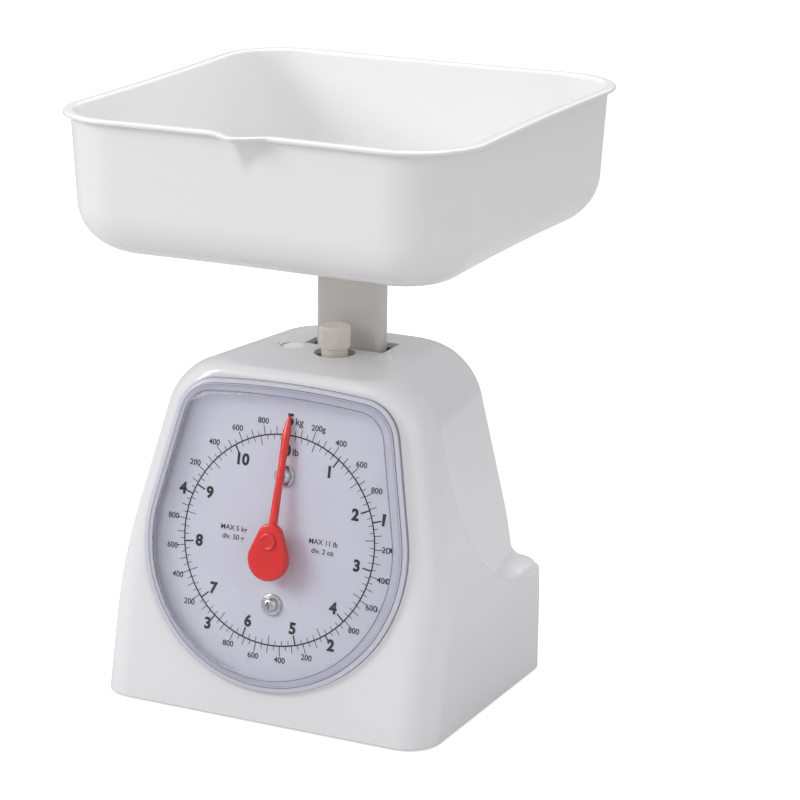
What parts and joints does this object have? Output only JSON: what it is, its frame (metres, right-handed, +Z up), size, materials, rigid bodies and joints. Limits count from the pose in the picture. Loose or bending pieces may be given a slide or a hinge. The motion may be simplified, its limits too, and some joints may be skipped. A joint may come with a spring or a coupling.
{
  "type": "mechanical dial platform scale",
  "caption": "White tabletop spring scale with a lift-off tray on a sliding post, a leaning round dial under a clear cover, a geared pointer and a top zero knob.",
  "frame": {"origin": "on the resting plane, under the middle of the whole scale with its tray, from the lip's tip to the tray's rear rim", "axes": "+Z up, the dial faces -Y, +X is to the right seen from behind the dial's viewer, that is to the viewer's right"},
  "size_m": [0.2016, 0.2112, 0.2746],
  "materials": {
    "housing_white": "satin moulded",
    "tray_white": "polished moulded",
    "post_beige": "fine satin",
    "knob_ivory": "satin",
    "base_grey": "moulded",
    "foot_rubber": "matt",
    "lens_clear": "clear plastic",
    "dial_face": "printed, semi-matt",
    "pointer_red": "moulded",
    "zinc_steel": "zinc plated",
    "sheet_steel": "pressed sheet",
    "spring_steel": "oiled wire",
    "brass": "turned"
  },
  "bodies": {
    "base": {"housing": "housing_white", "base_plate": "base_grey", "foot_front_left": "foot_rubber", "foot_front_right": "foot_rubber", "foot_rear_left": "foot_rubber", "foot_rear_right": "foot_rubber", "base_screw_front_left": "zinc_steel", "base_screw_front_right": "zinc_steel", "base_screw_rear_left": "zinc_steel", "base_screw_rear_right": "zinc_steel", "frame_screw_left": "zinc_steel", "frame_screw_right": "zinc_steel", "frame": "sheet_steel", "upper_frame_pin": "zinc_steel", "lower_frame_pin": "zinc_steel", "dial_plate": "dial_face", "dial_washer_top": "zinc_steel", "dial_washer_bottom": "zinc_steel", "dial_screw_top": "zinc_steel", "dial_screw_bottom": "zinc_steel", "dial_spacer_top": "brass", "dial_spacer_bottom": "brass", "lens": "lens_clear", "front_bush": "brass", "rear_bush": "brass", "bearing_bracket": "sheet_steel", "bracket_screw_left": "zinc_steel", "bracket_screw_right": "zinc_steel", "main_spring_left": "spring_steel", "main_spring_right": "spring_steel"},
    "platform": {"carrier": "sheet_steel", "post": "post_beige", "post_screw": "zinc_steel", "upper_carrier_pin": "zinc_steel", "lower_carrier_pin": "zinc_steel", "rack_rod": "zinc_steel"},
    "tray": {"tray": "tray_white"},
    "upper_arm": {"upper_arm": "sheet_steel"},
    "lower_arm": {"lower_arm": "sheet_steel"},
    "rack": {"rack": "brass"},
    "pointer": {"pointer": "pointer_red", "pointer_shaft": "zinc_steel", "pinion": "brass"},
    "zero_knob": {"zero_knob": "knob_ivory", "zero_screw": "zinc_steel", "zero_clip": "sheet_steel"},
    "spring_hanger": {"spring_hanger": "sheet_steel"}
  },
  "joints": [
    {"name": "platform_travel", "type": "slide", "parent": "base", "child": "platform", "axis": [0, 0, -1], "range_m": [0, 0.01929], "stiffness_N_per_m": 2540, "springref_m": -0.004, "deforming": ["main_spring_left", "main_spring_right"]},
    {"name": "tray_lift", "type": "slide", "parent": "platform", "child": "tray", "axis": [0, 0, 1], "range_m": [0, 0.06]},
    {"name": "upper_arm_swing", "type": "hinge", "parent": "base", "child": "upper_arm", "pos_m": [0, -0.03374, 0.11735], "axis": [-1, 0, 0], "range_deg": [-0.2, 22.93]},
    {"name": "lower_arm_swing", "type": "hinge", "parent": "base", "child": "lower_arm", "pos_m": [0, -0.03374, 0.03235], "axis": [-1, 0, 0], "range_deg": [-0.2, 22.93]},
    {"name": "rack_travel", "type": "slide", "parent": "base", "child": "rack", "axis": [0, -0.213, -0.977], "range_m": [-0.0001, 0.01895]},
    {"name": "pointer_spin", "type": "hinge", "parent": "base", "child": "pointer", "pos_m": [0, -0.05844, 0.0817], "axis": [0, 0.977, -0.213], "range_deg": [-1, 361]},
    {"name": "zero_turn", "type": "hinge", "parent": "base", "child": "zero_knob", "pos_m": [0, -0.00353, 0.16], "axis": [0, 0, 1], "range_deg": [-720, 720]},
    {"name": "hanger_travel", "type": "slide", "parent": "base", "child": "spring_hanger", "axis": [0, 0, 1], "range_m": [-0.0017, 0.0017]}
  ],
  "couplings": [
    {"joint": "upper_arm_swing", "follows": "platform_travel", "rad_per_m": 20.559},
    {"joint": "lower_arm_swing", "follows": "platform_travel", "rad_per_m": 20.559},
    {"joint": "rack_travel", "follows": "platform_travel", "ratio": 0.97705},
    {"joint": "pointer_spin", "follows": "platform_travel", "rad_per_m": 325.68},
    {"joint": "hanger_travel", "follows": "zero_turn", "m_per_rad": -0.00012732}
  ]
}
